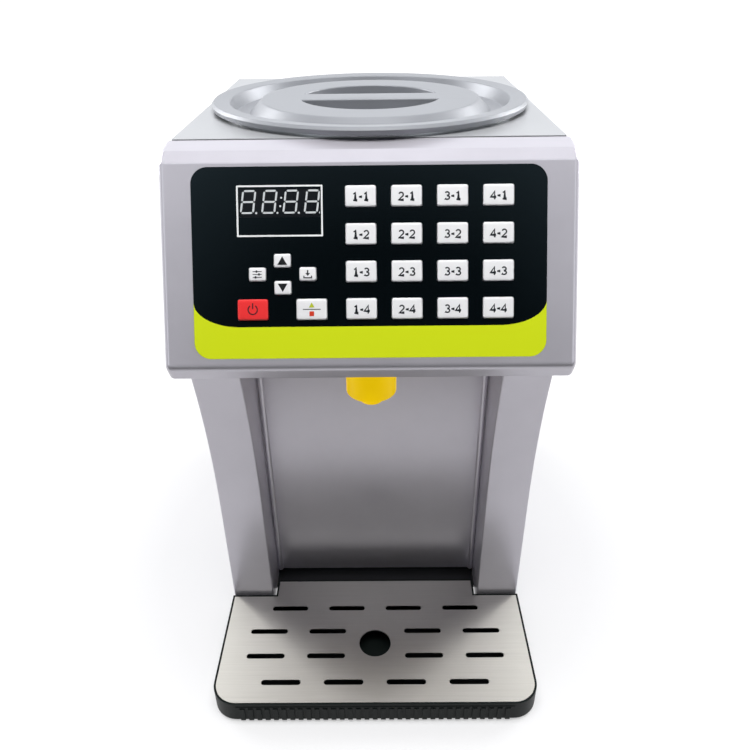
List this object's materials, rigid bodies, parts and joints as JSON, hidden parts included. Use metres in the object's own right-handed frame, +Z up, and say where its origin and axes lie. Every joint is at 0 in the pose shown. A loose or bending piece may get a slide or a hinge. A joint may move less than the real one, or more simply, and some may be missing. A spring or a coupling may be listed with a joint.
{
  "type": "fructose dispenser",
  "caption": "Countertop syrup dispenser with a heated tank under a round lid, a tilted keypad head, a fixed nozzle and a pull-out drip tray with a steel grille.",
  "frame": {"origin": "centre of the object's footprint, at counter height", "axes": "+Z up, +X to the right seen from the front, the control face and the nozzle face -Y"},
  "size_m": [0.251, 0.379, 0.4014],
  "materials": {
    "body_abs": "satin silver-grey pearl finish on moulded ABS",
    "painted_sheet": "satin silver-grey powder coat",
    "black_abs": "fine moulded grain",
    "overlay_film": "glossy printed film, black with a lime band along the bottom",
    "display_black": "smoked black face with grey segments",
    "circuit_board": "green solder mask",
    "yellow_plastic": "glossy moulded plastic",
    "white_plastic": "natural moulded plastic",
    "stainless_steel": "deep drawn stainless steel",
    "heater_silicone": "orange-red silicone heater mat",
    "sensor_aluminium": "bare aluminium",
    "hose_silicone": "milky food-grade silicone",
    "pump_plastic": "grey glass-filled moulding",
    "gear_steel": "ground stainless steel",
    "motor_steel": "dark painted steel can",
    "galvanised_steel": "bright zinc plating",
    "supply_case": "folded aluminium case",
    "red_plastic": "red moulded plastic",
    "key_plastic": "pale silver keycap, softly satin",
    "lid_plastic": "light grey moulded plastic, satin",
    "tray_plastic": "dark grey ABS with fine grain",
    "grille_steel": "stainless steel brushed from left to right",
    "foot_rubber": "moulded rubber"
  },
  "bodies": {
    "cabinet": {"left_side_panel": "body_abs", "right_side_panel": "body_abs", "rear_cover": "painted_sheet", "base_plate": "black_abs", "top_plate": "painted_sheet", "left_pillar": "body_abs", "right_pillar": "body_abs", "recess_panel": "body_abs", "fascia": "body_abs", "head_floor": "body_abs", "control_overlay": "overlay_film", "display_module": "display_black", "control_board": "circuit_board", "tact_switches": "black_abs", "nozzle": "yellow_plastic", "nozzle_holder": "white_plastic", "tank": "stainless_steel", "tank_collar": "stainless_steel", "heater_band": "heater_silicone", "temperature_sensor": "sensor_aluminium", "tank_outlet": "stainless_steel", "suction_hose": "hose_silicone", "delivery_hose": "hose_silicone", "pump_body": "pump_plastic", "pump_cover": "pump_plastic", "pump_motor": "motor_steel", "pump_bracket": "galvanised_steel", "power_supply": "supply_case", "power_inlet": "black_abs", "switch_frame": "black_abs", "rubber_feet": "foot_rubber", "machine_screws": "galvanised_steel"},
    "lid": {"lid": "lid_plastic"},
    "drip_tray": {"drip_tray": "tray_plastic"},
    "drip_grille": {"drip_grille": "grille_steel"},
    "rocker_switch": {"rocker_switch": "red_plastic"},
    "drive_gear": {"drive_gear": "gear_steel"},
    "idler_gear": {"idler_gear": "gear_steel"},
    "key_1_1": {"key_1_1": "key_plastic"},
    "key_1_2": {"key_1_2": "key_plastic"},
    "key_1_3": {"key_1_3": "key_plastic"},
    "key_1_4": {"key_1_4": "key_plastic"},
    "key_2_1": {"key_2_1": "key_plastic"},
    "key_2_2": {"key_2_2": "key_plastic"},
    "key_2_3": {"key_2_3": "key_plastic"},
    "key_2_4": {"key_2_4": "key_plastic"},
    "key_3_1": {"key_3_1": "key_plastic"},
    "key_3_2": {"key_3_2": "key_plastic"},
    "key_3_3": {"key_3_3": "key_plastic"},
    "key_3_4": {"key_3_4": "key_plastic"},
    "key_4_1": {"key_4_1": "key_plastic"},
    "key_4_2": {"key_4_2": "key_plastic"},
    "key_4_3": {"key_4_3": "key_plastic"},
    "key_4_4": {"key_4_4": "key_plastic"},
    "key_up": {"key_up": "key_plastic"},
    "key_down": {"key_down": "key_plastic"},
    "key_set": {"key_set": "key_plastic"},
    "key_store": {"key_store": "key_plastic"},
    "key_power": {"key_power": "red_plastic"},
    "key_run_stop": {"key_run_stop": "key_plastic"}
  },
  "joints": [
    {"name": "key_1_1_press", "type": "slide", "parent": "cabinet", "child": "key_1_1", "axis": [0, 0.8898, -0.4563], "range_m": [0, 0.0005], "stiffness_N_per_m": 3000},
    {"name": "key_1_2_press", "type": "slide", "parent": "cabinet", "child": "key_1_2", "axis": [0, 0.8898, -0.4563], "range_m": [0, 0.0005], "stiffness_N_per_m": 3000},
    {"name": "key_1_3_press", "type": "slide", "parent": "cabinet", "child": "key_1_3", "axis": [0, 0.8898, -0.4563], "range_m": [0, 0.0005], "stiffness_N_per_m": 3000},
    {"name": "key_1_4_press", "type": "slide", "parent": "cabinet", "child": "key_1_4", "axis": [0, 0.8898, -0.4563], "range_m": [0, 0.0005], "stiffness_N_per_m": 3000},
    {"name": "key_2_1_press", "type": "slide", "parent": "cabinet", "child": "key_2_1", "axis": [0, 0.8898, -0.4563], "range_m": [0, 0.0005], "stiffness_N_per_m": 3000},
    {"name": "key_2_2_press", "type": "slide", "parent": "cabinet", "child": "key_2_2", "axis": [0, 0.8898, -0.4563], "range_m": [0, 0.0005], "stiffness_N_per_m": 3000},
    {"name": "key_2_3_press", "type": "slide", "parent": "cabinet", "child": "key_2_3", "axis": [0, 0.8898, -0.4563], "range_m": [0, 0.0005], "stiffness_N_per_m": 3000},
    {"name": "key_2_4_press", "type": "slide", "parent": "cabinet", "child": "key_2_4", "axis": [0, 0.8898, -0.4563], "range_m": [0, 0.0005], "stiffness_N_per_m": 3000},
    {"name": "key_3_1_press", "type": "slide", "parent": "cabinet", "child": "key_3_1", "axis": [0, 0.8898, -0.4563], "range_m": [0, 0.0005], "stiffness_N_per_m": 3000},
    {"name": "key_3_2_press", "type": "slide", "parent": "cabinet", "child": "key_3_2", "axis": [0, 0.8898, -0.4563], "range_m": [0, 0.0005], "stiffness_N_per_m": 3000},
    {"name": "key_3_3_press", "type": "slide", "parent": "cabinet", "child": "key_3_3", "axis": [0, 0.8898, -0.4563], "range_m": [0, 0.0005], "stiffness_N_per_m": 3000},
    {"name": "key_3_4_press", "type": "slide", "parent": "cabinet", "child": "key_3_4", "axis": [0, 0.8898, -0.4563], "range_m": [0, 0.0005], "stiffness_N_per_m": 3000},
    {"name": "key_4_1_press", "type": "slide", "parent": "cabinet", "child": "key_4_1", "axis": [0, 0.8898, -0.4563], "range_m": [0, 0.0005], "stiffness_N_per_m": 3000},
    {"name": "key_4_2_press", "type": "slide", "parent": "cabinet", "child": "key_4_2", "axis": [0, 0.8898, -0.4563], "range_m": [0, 0.0005], "stiffness_N_per_m": 3000},
    {"name": "key_4_3_press", "type": "slide", "parent": "cabinet", "child": "key_4_3", "axis": [0, 0.8898, -0.4563], "range_m": [0, 0.0005], "stiffness_N_per_m": 3000},
    {"name": "key_4_4_press", "type": "slide", "parent": "cabinet", "child": "key_4_4", "axis": [0, 0.8898, -0.4563], "range_m": [0, 0.0005], "stiffness_N_per_m": 3000},
    {"name": "key_up_press", "type": "slide", "parent": "cabinet", "child": "key_up", "axis": [0, 0.8898, -0.4563], "range_m": [0, 0.0005], "stiffness_N_per_m": 3000},
    {"name": "key_down_press", "type": "slide", "parent": "cabinet", "child": "key_down", "axis": [0, 0.8898, -0.4563], "range_m": [0, 0.0005], "stiffness_N_per_m": 3000},
    {"name": "key_set_press", "type": "slide", "parent": "cabinet", "child": "key_set", "axis": [0, 0.8898, -0.4563], "range_m": [0, 0.0005], "stiffness_N_per_m": 3000},
    {"name": "key_store_press", "type": "slide", "parent": "cabinet", "child": "key_store", "axis": [0, 0.8898, -0.4563], "range_m": [0, 0.0005], "stiffness_N_per_m": 3000},
    {"name": "key_power_press", "type": "slide", "parent": "cabinet", "child": "key_power", "axis": [0, 0.8898, -0.4563], "range_m": [0, 0.0005], "stiffness_N_per_m": 3000},
    {"name": "key_run_stop_press", "type": "slide", "parent": "cabinet", "child": "key_run_stop", "axis": [0, 0.8898, -0.4563], "range_m": [0, 0.0005], "stiffness_N_per_m": 3000},
    {"name": "lid_lift", "type": "slide", "parent": "cabinet", "child": "lid", "axis": [0, 0, 1], "range_m": [0, 0.15]},
    {"name": "tray_slide", "type": "slide", "parent": "cabinet", "child": "drip_tray", "axis": [0, -1, 0], "range_m": [0, 0.08]},
    {"name": "grille_lift", "type": "slide", "parent": "drip_tray", "child": "drip_grille", "axis": [0, 0, 1], "range_m": [0, 0.06]},
    {"name": "rocker_tilt", "type": "hinge", "parent": "cabinet", "child": "rocker_switch", "pos_m": [-0.03, 0.183, 0.084], "axis": [1, 0, 0], "range_deg": [0, 16]},
    {"name": "drive_spin", "type": "hinge", "parent": "cabinet", "child": "drive_gear", "pos_m": [0.04, 0.0507, 0.045], "axis": [0, 1, 0], "continuous": true},
    {"name": "idler_spin", "type": "hinge", "parent": "cabinet", "child": "idler_gear", "pos_m": [0.04, 0.0507, 0.0675], "axis": [0, 1, 0], "continuous": true}
  ],
  "couplings": [
    {"joint": "idler_spin", "follows": "drive_spin", "ratio": -1}
  ]
}
